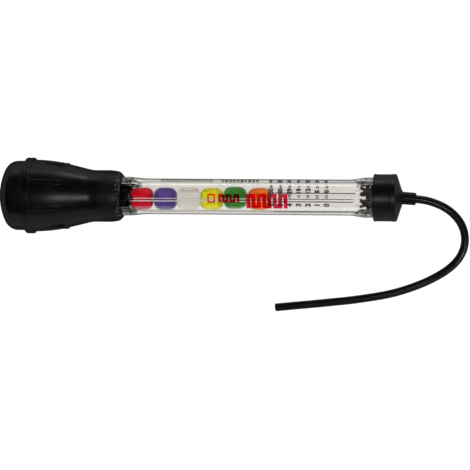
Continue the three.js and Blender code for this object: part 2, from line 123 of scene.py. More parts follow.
# Hose: the same route as in the CAD, from the nipple's mouth. CUT_ROUND is how far inside
# its corner the middle of the cut edge lies. BORE_DEPTH counts points of the centre line.
HOSE_RADIUS, HOSE_BORE, HOSE_SEATED = 3, 1.5, 8.2
HOSE_STEP, HOSE_SIDES, BORE_DEPTH = 1.5, 24, 9
SEATED_EDGE, CUT_EDGE, CUT_ROUND, BORE_EDGE = 0.2, 0.25, 0.07, 0.15
HOSE_ROUTE = [
    (6, -0.7, 16.6), (11.8, -2.1, 16.2), (20.1, -5.5, 15.4), (26.3, -9.7, 14.4),
    (31.4, -15.2, 13.1), (34.6, -21.3, 11.7), (35.9, -28.2, 10.2), (35.2, -35.1, 8.6),
    (32.5, -41.6, 7.2), (28.3, -47.1, 6), (21.4, -53, 4.7), (11.1, -59.1, 3.5),
    (-0.7, -64.4, 3.1), (-18.8, -70.3, 3.05), (-44.3, -75, 3.05), (-69.2, -78, 3.05),
    (-94, -80.6, 3.05), (-107.4, -82, 3.05),
]

# Print on the tube: distances along the axis, and degrees about it
PRINT_RADIUS = TUBE_RADIUS + 0.03
FROST_ROWS, ROWS_START, ROW_PITCH = (0, 5, 12, 19, 29, 40, 50), 249.5, 6.93
FREEZING_F, F_PER_C, NUMBER_CURVE_STEPS = 32, 1.8, 3

# Columns of numbers: angle, what they say, size and added weight
COLUMNS = [
    (116, "row", 5.2, 0.3), (89, "fahrenheit", 2.8, 0.14),
    (72, "celsius", 4.6, 0.34), (57, "fahrenheit", 2.6, 0.14),
]

# Rows of bars: how many, first place, pitch and angle, then widths and heights, which go up
# from the least by a step and start again after a few bars
BAR_ROWS = [
    (len(FROST_ROWS), ROWS_START - 1.2, -ROW_PITCH, 26, (5.6, 0, 1), (2, 0.7, 3)),
    (10, 170.6, 2.9, 25, (3.4, 0.8, 3), (1.5, 0.7, 2)),
    (24, 123.8, 1.66, 23, (2.4, 0.8, 2), (1.25, 0, 1)),
]

# The red square, and two meanders: bars, first place, pitch, width of line, height and angle
SQUARE_ALONG, SQUARE_ANGLE, SQUARE_LINE, SQUARE_SIDE, SQUARE_GAP = 163, 96, 1.1, 6.6, 4
SQUARE_HALF = 2.3
MEANDERS = [(6, 169.4, 2.8, 1.9, 6.3, 96), (8, 190.8, 4, 2.9, 11.6, 105)]

# Floor and surroundings, in metres and in shares of white
FLOOR_REACH, FLOOR_DROP = 3, 0.0002
SEEN_WHITE, MIRRORED_WHITE, PAPER, SHADE = 0.9, 0.4, 0.8, 0.16
PLAIN_LIGHT, CEILING_START, CEILING_FULL, CEILING_DARK = 0.3, 0.02, 0.35, 0.015
WHITE, WARM = (1, 1, 1), (1, 0.92, 0.86)


# Camera

def make_camera():
    back = Vector((math.sin(CAMERA_TILT), 0, math.cos(CAMERA_TILT)))
    right = Vector((math.cos(CAMERA_TILT), 0, -math.sin(CAMERA_TILT)))
    up = Vector((0, 1, 0))
    across = math.cos(CAMERA_ROLL) * right + math.sin(CAMERA_ROLL) * up
    upward = math.cos(CAMERA_ROLL) * up - math.sin(CAMERA_ROLL) * right
    aim = PLACE @ Vector((AIM_ALONG, 0, 0)) - AIM_BELOW * upward
    data = bpy.data.cameras.new("camera")
    data.sensor_width = SENSOR_WIDTH
    data.lens = FOCAL_PX * SENSOR_WIDTH / FRAME_PX
    data.clip_start, data.clip_end = CLIP_START, CLIP_END
    camera = bpy.data.objects.new("camera", data)
    bpy.context.scene.collection.objects.link(camera)
    turn = Matrix((across, upward, back)).transposed().to_4x4()
    camera.matrix_world = Matrix.Translation((aim + DISTANCE * back) * MM) @ turn
    bpy.context.scene.camera = camera


# Shapes

def softened(corners, steps=4):
    """A line of (x, radius) points; a corner with a third number is rounded over that reach.
    A first or last point that the caller leaves out only gives a rounding its direction."""
    points = []
    for i, corner in enumerate(corners):
        p = np.array(corner[:2], float)
        reach = corner[2] if len(corner) > 2 else 0
        if not reach:
            points.append(p)
            continue
        around = (corners[i - 1], corners[(i + 1) % len(corners)])
        before, after = (np.array(other[:2], float) for other in around)
        start, end = (
            p + (q - p) * min(MOST_OF_SIDE, reach / np.linalg.norm(q - p))
            for q in (before, after)
        )
        for t in np.linspace(0, 1, steps + 1):
            points.append((1 - t) ** 2 * start + 2 * t * (1 - t) * p + t * t * end)
    return [tuple(p) for p in points]


def arc(x, radius, size, start, end, steps=10):
    """Points on an arc, its angles counted from the outward radial direction to +x."""
    angles = np.linspace(start, end, steps + 1)
    return [(x + size * math.sin(a), radius + size * math.cos(a)) for a in angles]


def eased(first, last, steps):
    """Points from one to another that set off and arrive along the axis."""
    shares = np.linspace(0, 1, steps + 1)
    swing = shares * shares * (3 - 2 * shares)
    return [
        (first[0] + (last[0] - first[0]) * s, first[1] + (last[1] - first[1]) * w)
        for s, w in zip(shares, swing)
    ]


def refined(points, step):
    """The same line with no piece of it longer than step."""
    made = [points[0]]
    for p, q in zip(points, points[1:]):
        count = max(1, math.ceil(math.dist(p, q) / step))
        made += [
            (p[0] + (q[0] - p[0]) * k / count, p[1] + (q[1] - p[1]) * k / count)
            for k in range(1, count + 1)
        ]
    return made


def smooth(low, high, value):
    t = np.clip((value - low) / (high - low), 0, 1)
    return t * t * (3 - 2 * t)


def even_angles(count):
    return np.arange(count) * 2 * math.pi / count


def rib_angles(count, turn, offsets, radius, between):
    """Angles about the axis, close together at each rib and wider between the ribs."""
    pitch = 2 * math.pi / count
    near = np.array(sorted({-s for s in offsets} | set(offsets))) / radius
    far = np.linspace(near[-1], pitch + near[0], between + 2)[1:-1]
    one = np.concatenate([near, far])
    return np.concatenate([turn + pitch * k + one for k in range(count)])


def off_rib(angles, count, turn):
    """Each angle's distance to the nearest rib's middle."""
    pitch = 2 * math.pi / count
    return np.abs((angles - turn + pitch / 2) % pitch - pitch / 2)


def ring(x, radius, angles):
    """A ring of points about the axis; a radius of nothing is one point."""
    if np.max(radius) < TINY:
        return np.array([[x, 0.0, 0.0]])
    radius = np.broadcast_to(radius, angles.shape)
    along = np.full(len(angles), float(x))
    return np.stack([along, radius * np.cos(angles), radius * np.sin(angles)], 1)


def lathe(outline, angles):
    return [ring(x, radius, angles) for x, radius in outline]


def moved(points, matrix):
    turn, shift = np.array(matrix.to_3x3()), np.array(matrix.translation)
    return points @ turn.T + shift


def skin(name, rings, loop=False, sharp=40, place=PLACE):
    """A mesh over rings of points in millimetres, facing out. A ring of one point is a tip."""
    starts = np.cumsum([0] + [len(r) for r in rings])
    pairs = list(zip(range(len(rings)), range(1, len(rings))))
    if loop:
        pairs.append((len(rings) - 1, 0))
    faces = []
    for a, b in pairs:
        na, nb = len(rings[a]), len(rings[b])
        for i in range(max(na, nb)):
            j = (i + 1) % max(na, nb)
            face = [
                starts[a] + i % na, starts[a] + j % na, starts[b] + j % nb, starts[b] + i % nb,
            ]
            faces.append(list(dict.fromkeys(int(v) for v in face)))
    points = moved(np.concatenate(rings), place)
    corners = np.array([[f[0], f[k], f[k + 1]] for f in faces for k in range(1, len(f) - 1)])
    p, q, r = (points[corners[:, k]] for k in range(3))
    if np.einsum("ij,ij->i", p, np.cross(q, r)).sum() < 0:
        faces = [f[::-1] for f in faces]
    return mesh_piece(name, points * MM, faces, sharp)


def mesh_piece(name, points, faces, sharp=40):
    """A smooth object from points in metres, with edges from an angle in degrees on."""
    mesh = bpy.data.meshes.new(name)
    mesh.from_pydata([tuple(p) for p in points], [], faces)
    mesh.shade_smooth()
    mesh.set_sharp_from_angle(angle=math.radians(sharp))
    piece = bpy.data.objects.new(name, mesh)
    bpy.context.scene.collection.objects.link(piece)
    return piece


def evaluated_mesh(piece):
    """A new mesh of the piece as its modifiers or its curve make it."""
    graph = bpy.context.evaluated_depsgraph_get()
    return bpy.data.meshes.new_from_object(piece.evaluated_get(graph))


# Squeeze bulb

def dome(depth, first_radius, steps=12):
    """The end's two arcs, at a depth under the skin, from a radius near the axis outwards."""
    crown, corner = CROWN_RADIUS - depth, CORNER_RADIUS - depth
    side = BULB_RADIUS - CORNER_RADIUS
    meet = math.asin(side / (CROWN_RADIUS - CORNER_RADIUS))
    corner_x = CROWN_RADIUS - (CROWN_RADIUS - CORNER_RADIUS) * math.cos(meet)
    first = math.asin(first_radius / crown)
    return (
        arc(CROWN_RADIUS, 0, crown, first - math.pi / 2, meet - math.pi / 2, steps)
        + arc(corner_x, side, corner, meet - math.pi / 2, 0, steps)[1:]
    )


def shoulder(depth, steps=14):
    """The arc from the ring to the straight taper, at a depth under the skin."""
    return arc(RING_END, SHOULDER_RADIUS - SHOULDER_ARC, SHOULDER_ARC - depth, 0, TAPER, steps)


def on_taper(start, x):
    """The radius at x of the straight taper that goes on from a point of the shoulder."""
    return start[1] - (x - start[0]) * math.tan(TAPER)


def ribbed_stretch():
    """The skin along the ribs, with close steps where they end."""
    past = RIB_END + RIB_ZONE_PAST
    line = [p for p in shoulder(0) if p[0] > RING_END + RIB_ZONE_START]
    line = refined(line + [(past, on_taper(line[-1], past))], ZONE_STEP)
    close = np.arange(RIB_END - END_BEFORE, RIB_END + END_PAST, END_STEP)
    apart = [p for p in line if not close[0] - END_GAP < p[0] < close[-1] + END_GAP]
    xs, radii = zip(*line)
    return sorted(apart + [(x, float(np.interp(x, xs, radii))) for x in close])


def bulb_outline():
    """The skin without its ribs, from the nub to the mouth."""
    crown = dome(0, NUB_REACH)
    nub = softened([
        (-NUB_HEIGHT, 0), (-NUB_HEIGHT, NUB_RADIUS, NUB_EDGE),
        (NUB_FOOT, NUB_FOOT_RADIUS, NUB_ROOT), crown[0],
    ])
    ring_line = softened([
        (RING_START, BULB_RADIUS, RING_ROOT), (BAND_START, RING_RADIUS, RING_EDGE),
        (BAND_MIDDLE - GROOVE_HALF, RING_RADIUS, GROOVE_EDGE),
        (BAND_MIDDLE, RING_RADIUS - GROOVE_DEPTH, GROOVE_BED),
        (BAND_MIDDLE + GROOVE_HALF, RING_RADIUS, GROOVE_EDGE),
        (BAND_END, RING_RADIUS, RING_EDGE), (RING_END, SHOULDER_RADIUS, RING_BACK_ROOT),
        (RING_END + RING_RUN, SHOULDER_RADIUS),
    ], steps=3)
    taper_x, taper_radius = shoulder(0)[-1]
    blend_radius = NECK_RADIUS + NECK_BLEND * (1 - math.cos(TAPER))
    blend_x = taper_x + (taper_radius - blend_radius) / math.tan(TAPER)
    blend = arc(blend_x + NECK_BLEND * math.sin(TAPER), NECK_RADIUS + NECK_BLEND,
                -NECK_BLEND, TAPER, 0)
    lip_start = BULB_LENGTH - LIP_CHAMFER - LIP_LENGTH
    lip_turn = math.asin(LIP_LENGTH / LIP_ARC)
    lip = arc(lip_start, NECK_RADIUS - LIP_ARC, LIP_ARC, 0, lip_turn, steps=6)
    mouth = softened([
        lip[-2], (*lip[-1], LIP_EDGE), (BULB_LENGTH, SOCKET_RADIUS + MOUTH_WALL, MOUTH_EDGE),
        (BULB_LENGTH - MOUTH_CHAMFER, SOCKET_RADIUS),
    ], steps=3)[1:]
    return nub[:-1] + crown + ring_line + ribbed_stretch() + blend + lip[:-1] + mouth


def bulb_cavity():
    """The inside, from the socket to the end's hollow."""
    return softened([
        (BULB_LENGTH - MOUTH_RUN, SOCKET_RADIUS), (STOP_END, SOCKET_RADIUS, SOCKET_EDGE),
        (STOP_END, STOP_RADIUS, SOCKET_EDGE), (STOP_START, STOP_RADIUS, SOCKET_EDGE),
        (STOP_START, on_taper(shoulder(BULB_WALL)[-1], STOP_START), HOLLOW_EDGE),
    ]) + shoulder(BULB_WALL, steps=6)[::-1] + dome(BULB_WALL, 0, steps=6)[::-1]


def build_bulb():
    angles = rib_angles(RIB_COUNT, RIB_TURN, RIB_OFFSETS, RIB_STAND_RADIUS, between=8)
    across = off_rib(angles, RIB_COUNT, RIB_TURN) * RIB_STAND_RADIUS
    slope = (RIB_END_RADIUS - RIB_ROOT_RADIUS) / (RIB_END - BAND_MIDDLE)
    rings = []
    for x, radius in bulb_outline():
        if BAND_END < x < RIB_END + RIB_ZONE_PAST:
            past = max(0.0, x - (RIB_END - RIB_HALF))
            outside = (np.hypot(past, across) if past else across) - RIB_HALF
            crest = RIB_ROOT_RADIUS + slope * (x - BAND_MIDDLE)
            crest = crest - RIB_CROWN * (across / RIB_HALF) ** 2
            radius = radius + np.maximum(0, crest - radius) * (1 - smooth(*RIB_SIDE, outside))
        rings.append(ring(x, radius, angles))
    return skin("bulb", rings + lathe(bulb_cavity(), angles))


# Measuring tube

def build_tube():
    outer = softened([
        (TUBE_START, SOCKET_BORE), (TUBE_START, BULB_END_RADIUS, TUBE_EDGE),
        (TUBE_START + TUBE_END_RUN, BULB_END_RADIUS),
    ])[1:]
    outer += eased((BULB_FLARE[0], BULB_END_RADIUS), (BULB_FLARE[1], TUBE_RADIUS), steps=20)
    outer += eased((CAP_FLARE[0], TUBE_RADIUS), (CAP_FLARE[1], CAP_END_RADIUS), steps=16)
    outer += softened([
        (TUBE_END - TUBE_END_RUN, CAP_END_RADIUS), (TUBE_END, CAP_END_RADIUS, TUBE_EDGE),
        (TUBE_END, SOCKET_BORE),
    ])[:-1]
    inner = [(TUBE_END, SOCKET_BORE)]
    cap_step = (CAP_SHOULDER - CAP_STEP, BORE_RADIUS)
    bulb_step = (BULB_SHOULDER + BULB_STEP, BORE_RADIUS)
    inner += eased((CAP_SHOULDER, SOCKET_BORE), cap_step, steps=21)
    inner += eased(bulb_step, (BULB_SHOULDER, SOCKET_BORE), steps=18)
    inner.append((TUBE_START, SOCKET_BORE))

    ribs = (TUBE_RIB_COUNT, TUBE_RIB_TURN, TUBE_RIB_OFFSETS)
    angles = rib_angles(*ribs, BORE_RADIUS, between=16)
    across = off_rib(angles, TUBE_RIB_COUNT, TUBE_RIB_TURN) * BORE_RADIUS
    shape = 1 - smooth(*TUBE_RIB_SIDE, across)
    rings = lathe(outer, angles)
    for x, radius in refined(inner, BORE_PIECE):
        start = smooth(BULB_SHOULDER, BULB_SHOULDER + RUN_IN, x)
        end = 1 - smooth(TUBE_RIB_END - RUN_OUT, TUBE_RIB_END, x)
        height = radius - BORE_RADIUS + TUBE_RIB_HEIGHT
        rings.append(ring(x, radius - shape * height * start * end, angles))
    return skin("tube", rings, loop=True, sharp=55)


def build_rib_flanks():
    """Light strips just inside the ribs' steep flanks, seen through the wall: painted highlights
    where the flanks catch light. The far rib shows one.
    """
    points, faces = [], []
    stations = np.linspace(BULB_SHOULDER + RUN_IN, TUBE_RIB_END - RUN_OUT, FLANK_STATIONS)
    count = len(stations)
    for k, angle in enumerate(TUBE_RIB_TURN + even_angles(TUBE_RIB_COUNT)):
        for side in (-1, 1) if k < PAIRED_FLANKS else (1,):
            start = len(points)
            for across, rise in (FLANK_FOOT, FLANK_CREST):
                turn, radius = angle + side * across / BORE_RADIUS, BORE_RADIUS + rise
                points += [(x, radius * math.cos(turn), radius * math.sin(turn)) for x in stations]
            for first in range(start, start + count - 1):
                faces.append([first, first + 1, first + count + 1, first + count])
    return mesh_piece("rib_flank_glints", moved(np.array(points), PLACE) * MM, faces)


# End cap

def build_cap():
    cup = softened([
        (CAP_RIM, CAP_BORE, RIM_INNER_EDGE), (CAP_RIM, CAP_BEAD, RIM_EDGE),
        (CAP_RIM + RIM_BEAD, CAP_BEAD, BEAD_EDGE),
        (CAP_RIM + RIM_BEAD + BEAD_SLOPE, CAP_RADIUS, BEAD_ROOT),
        (CAP_END - END_BEAD - BEAD_SLOPE, CAP_RADIUS, BEAD_ROOT),
        (CAP_END - END_BEAD, CAP_BEAD, BEAD_EDGE), (CAP_END, CAP_BEAD, CONE_EDGE),
    ])
    cone = [
        (CAP_END + (NIPPLE_FOOT - CAP_END) * share, CAP_BEAD + (CONE_END - CAP_BEAD) * share)
        for share in np.linspace(*CONE_SHARES, CONE_RINGS)
    ]
    foot = softened([
        (-CONE_SLOPE[0], CONE_END + CONE_SLOPE[1]), (0, CONE_END, FOOT_EDGE),
        (FOOT_RISE, NIPPLE_RADIUS + FOOT_RISE, FOOT_ROOT), (FOOT_LENGTH, NIPPLE_RADIUS),
    ])[1:]
    straight_end = NIPPLE_LENGTH - RIBS_BEFORE
    straight = [(STRAIGHT_START, NIPPLE_RADIUS), (straight_end, NIPPLE_RADIUS)]
    tip = softened([
        (NIPPLE_LENGTH - TIP_BEFORE, NIPPLE_RADIUS), (NIPPLE_LENGTH, NIPPLE_RADIUS, TIP_EDGE),
        (NIPPLE_LENGTH, HOSE_SEAT, SEAT_EDGE), (SEAT_START, HOSE_SEAT),
        (SEAT_START, PASSAGE_RADIUS), (CAP_FLOOR - NIPPLE_FOOT + PASSAGE_PAST, PASSAGE_RADIUS),
    ])[1:]
    inside = softened([
        (CAP_FLOOR, PASSAGE_RADIUS, FLOOR_INNER_EDGE), (CAP_FLOOR, CAP_BORE, FLOOR_ROOT),
        (CAP_FLOOR - CAP_BORE_RUN, CAP_BORE),
    ])

    ribs = (NIPPLE_RIB_COUNT, 0, NIPPLE_RIB_OFFSETS)
    angles = rib_angles(*ribs, NIPPLE_RADIUS, between=2)
    across = off_rib(angles, NIPPLE_RIB_COUNT, 0) * NIPPLE_RADIUS
    shape = NIPPLE_RIB_HEIGHT * (1 - smooth(*NIPPLE_RIB_SIDE, across))
    nipple = [
        ring(x, radius + shape * smooth(*NIPPLE_RIB_RUN_IN, x), angles)
        for x, radius in foot + refined(straight, NIPPLE_STEP)
    ]
    droop = Matrix.Translation((NIPPLE_FOOT, 0, 0)) @ Matrix.Rotation(-NIPPLE_DROOP, 4, "Z")
    drooped = [moved(points, droop) for points in nipple + lathe(tip, angles)]
    rings = lathe(cup + cone, angles) + drooped + lathe(inside, angles)
    return skin("cap", rings, loop=True)


# Float stops: rounded copies of the solids in the CAD

def build_stop(node):
    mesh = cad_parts[node].data.copy()
    piece = bpy.data.objects.new(node.replace("float_", ""), mesh)
    bpy.context.scene.collection.objects.link(piece)
    weld = piece.modifiers.new("weld", "WELD")
    weld.merge_threshold = STOP_MERGE
    flat = piece.modifiers.new("flat", "DECIMATE")
    flat.decimate_type, flat.angle_limit = "DISSOLVE", math.radians(STOP_FLAT)
    bevel = piece.modifiers.new("bevel", "BEVEL")
    bevel.width, bevel.segments = STOP_BEVEL, STOP_BEVEL_STEPS
    bevel.limit_method, bevel.angle_limit = "ANGLE", math.radians(STOP_CORNER)
    bevel.use_clamp_overlap = True
    made = evaluated_mesh(piece)
    piece.modifiers.clear()
    piece.data = made
    made.shade_smooth()
    made.set_sharp_from_angle(angle=math.radians(STOP_SHARP))
    return piece


# Floats

def build_float(name, middle, turn):
    """A drum with a rounded square outline, which lies off the axis by FLOAT_DROP."""
    half = math.pi / 2
    outline = []
    for angle in np.linspace(-half, half, FLOAT_POINTS):
        c, s = math.cos(angle), math.sin(angle)
        radius = abs(c) ** (2 / FLOAT_SQUARENESS) * FLOAT_RADIUS
        along = math.copysign(abs(s) ** (2 / FLOAT_SQUARENESS), s) * FLOAT_LENGTH / 2
        at_end = abs(angle) > half - TINY
        outline.append((along, 0 if at_end else radius))
    turn = math.radians(turn)
    drop = (FLOAT_DROP * math.cos(turn), FLOAT_DROP * math.sin(turn))
    shift = Matrix.Translation((middle, *drop))
    rings = [moved(points, shift) for points in lathe(outline, even_angles(FLOAT_SIDES))]
    return skin(name + "_float", rings, sharp=60)


# Suction hose

def between(start, end, share_start, share_end, share):
    """The point at a share on the straight line between two points with shares of their own."""
    whole = share_end - share_start
    return start * ((share_end - share) / whole) + end * ((share - share_start) / whole)


def curve_points(given):
    """A centripetal curve through all given points but the first and last, and its end."""
    points = []
    for i in range(1, len(given) - 2):
        p = given[i - 1:i + 3]
        t = [0.0]
        for a, b in zip(p, p[1:]):
            t.append(t[-1] + math.sqrt((b - a).length))
        steps = max(2, round((p[2] - p[1]).length / HOSE_STEP))
        for k in range(steps):
            u = t[1] + (t[2] - t[1]) * k / steps
            a = [between(p[j], p[j + 1], t[j], t[j + 1], u) for j in range(3)]
            b = [between(a[j], a[j + 1], t[j], t[j + 2], u) for j in range(2)]
            points.append(between(b[0], b[1], t[1], t[2], u))
    points.append(given[-2])
    return points


def hose_points():
    """The centre line, from the seated end, and the point where it leaves the nipple."""
    def from_mouth(distance):
        reach = NIPPLE_LENGTH + distance
        return PLACE @ Vector((NIPPLE_FOOT + reach * math.cos(NIPPLE_DROOP),
                               -reach * math.sin(NIPPLE_DROOP), 0))
    mouth = from_mouth(0)
    given = [from_mouth(-HOSE_SEATED), from_mouth(-HOSE_SEATED / 2), mouth]
    given += [Vector((mouth.x + x, mouth.y + y, z)) for x, y, z in HOSE_ROUTE]
    given = [2 * given[0] - given[1]] + given + [2 * given[-1] - given[-2]]
    return curve_points(given), mouth


def build_hose():
    points, mouth = hose_points()
    last = len(points) - 1
    ways = [
        (points[min(i + 1, last)] - points[max(i - 1, 0)]).normalized() for i in range(last + 1)
    ]
    side = ways[0].cross(Vector((0, 0, 1))).normalized()
    sides = []
    for way in ways:
        side = (side - way * side.dot(way)).normalized()
        sides.append(side)

    def hoop(i, radius, shift=0.0):
        across, over = sides[i], ways[i].cross(sides[i])
        middle = points[i] + ways[i] * shift
        return np.array([
            middle + radius * (math.cos(a) * across + math.sin(a) * over)
            for a in even_angles(HOSE_SIDES)
        ])

    rings = [np.array([points[0]]), hoop(0, HOSE_RADIUS - SEATED_EDGE)]
    rings.append(hoop(0, HOSE_RADIUS, SEATED_EDGE))
    rings += [hoop(i, HOSE_RADIUS) for i in range(1, last)]
    rings.append(hoop(last, HOSE_RADIUS, -CUT_EDGE))
    rings.append(hoop(last, HOSE_RADIUS - CUT_ROUND, -CUT_ROUND))
    rings.append(hoop(last, HOSE_RADIUS - CUT_EDGE))
    rings += [hoop(last, HOSE_BORE + BORE_EDGE), hoop(last, HOSE_BORE, -BORE_EDGE)]
    bore_end = len(points) - BORE_DEPTH
    rings += [hoop(i, HOSE_BORE) for i in range(last - 1, bore_end, -1)]
    rings.append(np.array([points[bore_end]]))
    hose = skin("hose", rings, sharp=60, place=Matrix.Identity(4))
    return hose


# Print on the tube

def number_mesh(text, size, weight):
    curve = bpy.data.curves.new("number", "FONT")
    curve.body, curve.size, curve.offset = text, size, weight
    curve.resolution_u = NUMBER_CURVE_STEPS
    curve.align_x, curve.align_y = "CENTER", "CENTER"
    holder = bpy.data.objects.new("number", curve)
    bpy.context.scene.collection.objects.link(holder)
    mesh = evaluated_mesh(holder)
    points = [tuple(v.co) for v in mesh.vertices]
    faces = [list(p.vertices) for p in mesh.polygons]
    bpy.data.objects.remove(holder)
    bpy.data.curves.remove(curve)
    bpy.data.meshes.remove(mesh)
    return points, faces


def bar_mesh(across, width, height, cells=6):
    """A bar about a place across, cut into cells so that it bends with the tube."""
    xs = np.linspace(across - width / 2, across + width / 2, cells + 1)
    points = [(x, y) for y in (-height / 2, height / 2) for x in xs]
    faces = [[k, k + 1, cells + k + 2, cells + k + 1] for k in range(cells)]
    return points, faces


def black_marks():
    """Rows of plain numbers, degrees of frost in both scales, and rows of bars."""
    marks = []
    for k, frost in enumerate(FROST_ROWS):
        labels = {"row": k, "celsius": frost, "fahrenheit": round(FREEZING_F - F_PER_C * frost)}
        for angle, column, size, weight in COLUMNS:
            number = number_mesh(str(labels[column]), size, weight)
            marks.append((*number, ROWS_START - ROW_PITCH * k, angle))
    for count, start, pitch, angle, widths, heights in BAR_ROWS:
        for k in range(count):
            width, height = (least + step * (k % cycle) for least, step, cycle in (widths, heights))
            marks.append((*bar_mesh(0, width, height), start + pitch * k, angle))
    return marks


def red_marks():
    """A square of four bars and two meanders."""
    marks = [
        (*bar_mesh(0, SQUARE_SIDE, SQUARE_LINE, cells=8), SQUARE_ALONG + shift, SQUARE_ANGLE)
        for shift in (-SQUARE_HALF, SQUARE_HALF)
    ]
    half = (SQUARE_SIDE - SQUARE_LINE) / 2
    marks += [
        (*bar_mesh(across, SQUARE_LINE, SQUARE_GAP), SQUARE_ALONG, SQUARE_ANGLE)
        for across in (-half, half)
    ]
    for count, start, pitch, line, height, angle in MEANDERS:
        for k in range(count):
            marks.append((*bar_mesh(0, height, line, cells=14), start + pitch * k, angle))
        for k in range(count - 1):
            across = (height - line) / 2 * (-1) ** k
            joint = bar_mesh(across, line, pitch - line, cells=4)
            marks.append((*joint, start + pitch * (k + 0.5), angle))
    return marks


def bent(points, along, angle):
    """Flat (across, up) points laid round the tube: across runs with falling angles, up to -x."""
    across, up = np.array(points)[:, :2].T
    turn = math.radians(angle) - across / PRINT_RADIUS
    return np.stack([along - up, PRINT_RADIUS * np.cos(turn), PRINT_RADIUS * np.sin(turn)], 1)


def printed(name, marks):
    """One piece from (points, faces, along, angle) marks on the tube's skin."""
    points, faces = [], []
    for flat, shapes, along, angle in marks:
        start = sum(len(p) for p in points)
        points.append(bent(flat, along, angle))
        faces += [[start + v for v in f] for f in shapes]
    return mesh_piece(name, moved(np.concatenate(points), PLACE) * MM, faces)


# Shader nodes

def material(name):
    mat = bpy.data.materials.new(name)
    mat.use_nodes = True
    return mat, mat.node_tree, mat.node_tree.nodes["Principled BSDF"]


def added(tree, kind, **settings):
    """A new shader node with its own settings."""
    node = tree.nodes.new("ShaderNode" + kind)
    for name, value in settings.items():
        setattr(node, name, value)
    return node


def fed(tree, node, **values):
    """Gives a node's sockets, named with _ for a space, other sockets, numbers or colours."""
    for name, value in values.items():
        socket = node.inputs[name.replace("_", " ")]
        if isinstance(value, bpy.types.NodeSocket):
            tree.links.new(value, socket)
        elif socket.type == "RGBA":
            socket.default_value = (*value, 1)
        else:
            socket.default_value = value
    return node


def chained(tree, node, *values):
    """Gives a node's sockets other sockets, in their order, and returns its output."""
    for socket, value in zip(node.inputs, values):
        tree.links.new(value, socket)
    return node.outputs[0]


def maths(tree, operation, *values, clamp=False):
    return chained(tree, added(tree, "Math", operation=operation, use_clamp=clamp), *values)


def ranged(tree, value, given, wanted=(0, 1), kind="LINEAR"):
    """A value brought from the given range to the wanted one."""
    node = added(tree, "MapRange", interpolation_type=kind)
    fed(tree, node, From_Min=given[0], From_Max=given[1], To_Min=wanted[0], To_Max=wanted[1])
    return fed(tree, node, Value=value).outputs["Result"]


def recoloured(tree, share, colour, other):
    """A colour that turns into a plain other one by a share."""
    node = added(tree, "Mix", data_type="RGBA")
    return fed(tree, node, Factor=share, A=colour, B=other).outputs["Result"]


def object_place(tree):
    return added(tree, "TexCoord").outputs["Object"]


def lengthwise(tree):
    """The object's own X in metres."""
    return fed(tree, added(tree, "SeparateXYZ"), Vector=object_place(tree)).outputs["X"]


def noise(tree, scale, detail, stretch=None):
    place = object_place(tree)
    if stretch:
        place = fed(tree, added(tree, "Mapping"), Scale=stretch, Vector=place).outputs["Vector"]
    node = fed(tree, added(tree, "TexNoise"), Scale=scale, Detail=detail, Vector=place)
    return node.outputs["Fac"]


def spread(tree, pattern, low, high):
    """A noise pattern, most of which lies between 0.3 and 0.7, spread over a range."""
    return ranged(tree, pattern, (0.3, 0.7), (low, high))


def blended(tree, pattern, colours, low=0.35, high=0.7):
    """Two colours mixed by a noise pattern."""
    ramp = added(tree, "ValToRGB")
    elements = ramp.color_ramp.elements
    elements[0].position, elements[1].position = low, high
    for element, colour in zip(elements, colours):
        element.color = (*colour, 1)
    return fed(tree, ramp, Fac=pattern).outputs["Color"]


def bumped(tree, height, strength, distance):
    node = fed(tree, added(tree, "Bump"), Strength=strength, Distance=distance, Height=height)
    return node.outputs["Normal"]


# Materials

def tinted_past(mat, start, full, colour, glint_scale=None):
    """Another colour past a place along X, over all of the surface or in glints, which paints
    highlights or shade there.
    """
    tree = mat.node_tree
    shader = tree.nodes["Principled BSDF"]
    share = ranged(tree, lengthwise(tree), (start, full))
    if glint_scale:
        glints = spread(tree, noise(tree, glint_scale, detail=2), low=-7.5, high=3)
        share = maths(tree, "MULTIPLY", share, glints, clamp=True)
    base = shader.inputs["Base Color"].links[0].from_socket
    fed(tree, shader, Base_Color=recoloured(tree, share, base, colour))


def rubber(name, dark, light, rough, grain=0.12, dulling=0.6, dull_end=None):
    """Black rubber: duller at low angles, so that its outlines stay dark, and in dull_end."""
    mat, tree, shader = material(name)
    cloud = noise(tree, scale=70, detail=4)
    low_angle = added(tree, "LayerWeight").outputs["Facing"]
    duller = ranged(tree, low_angle, (0.3, 0.75), (0, dulling), "SMOOTHSTEP")
    total = maths(tree, "ADD", spread(tree, cloud, *rough), duller)
    if dull_end:
        duller = ranged(tree, lengthwise(tree), dull_end, (0, 0.16), "SMOOTHSTEP")
        total = maths(tree, "ADD", total, duller)
    fine = noise(tree, scale=2600, detail=2)
    fed(tree, shader, Base_Color=blended(tree, cloud, (dark, light)), Roughness=total,
        Normal=bumped(tree, fine, grain, distance=0.00008), Specular_IOR_Level=0.15)
    return mat


def moulded(name, dark, light, rough=(0.26, 0.4), gloss=0.2):
    mat, tree, shader = material(name)
    cloud = noise(tree, scale=160, detail=3)
    fine = noise(tree, scale=900, detail=2)
    fed(tree, shader, Base_Color=blended(tree, cloud, (dark, light)),
        Roughness=spread(tree, cloud, *rough),
        Normal=bumped(tree, fine, strength=0.12, distance=0.0001), Specular_IOR_Level=gloss)
    return mat


def through_lamps(tree, shader, tint):
    """Lets lamps shine through a clear shader as they do through a thin clear wall."""
    shadow_ray = added(tree, "LightPath").outputs["Is Shadow Ray"]
    clear = fed(tree, added(tree, "BsdfTransparent"), Color=tint)
    ways = (shadow_ray, shader.outputs["BSDF"], clear.outputs["BSDF"])
    surface = chained(tree, added(tree, "MixShader"), *ways)
    fed(tree, tree.nodes["Material Output"], Surface=surface)


